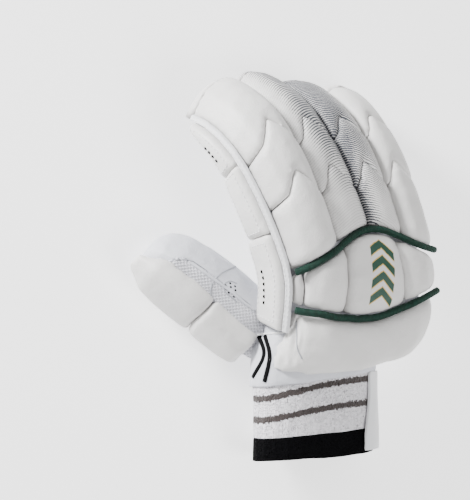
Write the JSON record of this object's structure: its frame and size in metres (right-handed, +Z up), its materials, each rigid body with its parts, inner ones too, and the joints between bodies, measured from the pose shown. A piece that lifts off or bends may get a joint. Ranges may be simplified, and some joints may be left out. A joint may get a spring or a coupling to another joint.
{
  "type": "cricket batting glove",
  "caption": "Right-hand cricket batting glove: padded leather back with chevron seams, piping, thumb guard, side bars, palm stalls and a knit cuff with a strap.",
  "frame": {"origin": "bottom centre of the bounding box, on the surface that the glove rests on", "axes": "+Z up, +Y from the cuff to the fingers, +X to the little finger side, back of the hand up"},
  "size_m": [0.2198, 0.291, 0.1065],
  "materials": {
    "pad_leather": "padded white leather with a fine grain, seams and slight wear",
    "palm_leather": "soft matte palm leather with seams and rows of small air holes",
    "white_leather": "thin white leather trim",
    "white_knit": "white towelling knit with two grey-brown stripes",
    "black_knit": "black elastic knit",
    "green_piping": "dark green covered piping",
    "open_mesh": "open white mesh"
  },
  "bodies": {
    "root": {"cuff_hem": "black_knit", "cuff": "white_knit", "wrist_strap": "white_leather", "stall_index": "palm_leather", "stall_middle": "palm_leather", "stall_ring": "palm_leather", "stall_little": "palm_leather", "hand_leather": "palm_leather", "thumb_leather": "palm_leather", "thumb_mesh": "open_mesh", "thumb_pad_base": "pad_leather", "thumb_pad_tip": "pad_leather", "pad_index_base": "pad_leather", "pad_index_middle": "pad_leather", "pad_index_tip": "pad_leather", "pad_middle_base": "pad_leather", "pad_middle_middle": "pad_leather", "pad_middle_tip": "pad_leather", "pad_ring_base": "pad_leather", "pad_ring_middle": "pad_leather", "pad_ring_tip": "pad_leather", "pad_little_base": "pad_leather", "pad_little_middle": "pad_leather", "pad_little_tip": "pad_leather", "tip_cap_index": "pad_leather", "tip_band_index": "white_leather", "tip_cap_middle": "pad_leather", "tip_band_middle": "white_leather", "tip_cap_ring": "pad_leather", "tip_band_ring": "white_leather", "tip_cap_little": "pad_leather", "tip_band_little": "white_leather", "hand_pad_thumb_side": "pad_leather", "hand_pad_index": "pad_leather", "hand_pad_middle": "pad_leather", "hand_pad_little": "pad_leather", "wrist_roll": "pad_leather", "cord_near_wrist": "green_piping", "cord_near_fingers": "green_piping", "side_bar_hand": "pad_leather", "side_bar_finger": "pad_leather", "side_bar_tip": "pad_leather", "side_gusset": "white_leather"}
  },
  "joints": []
}
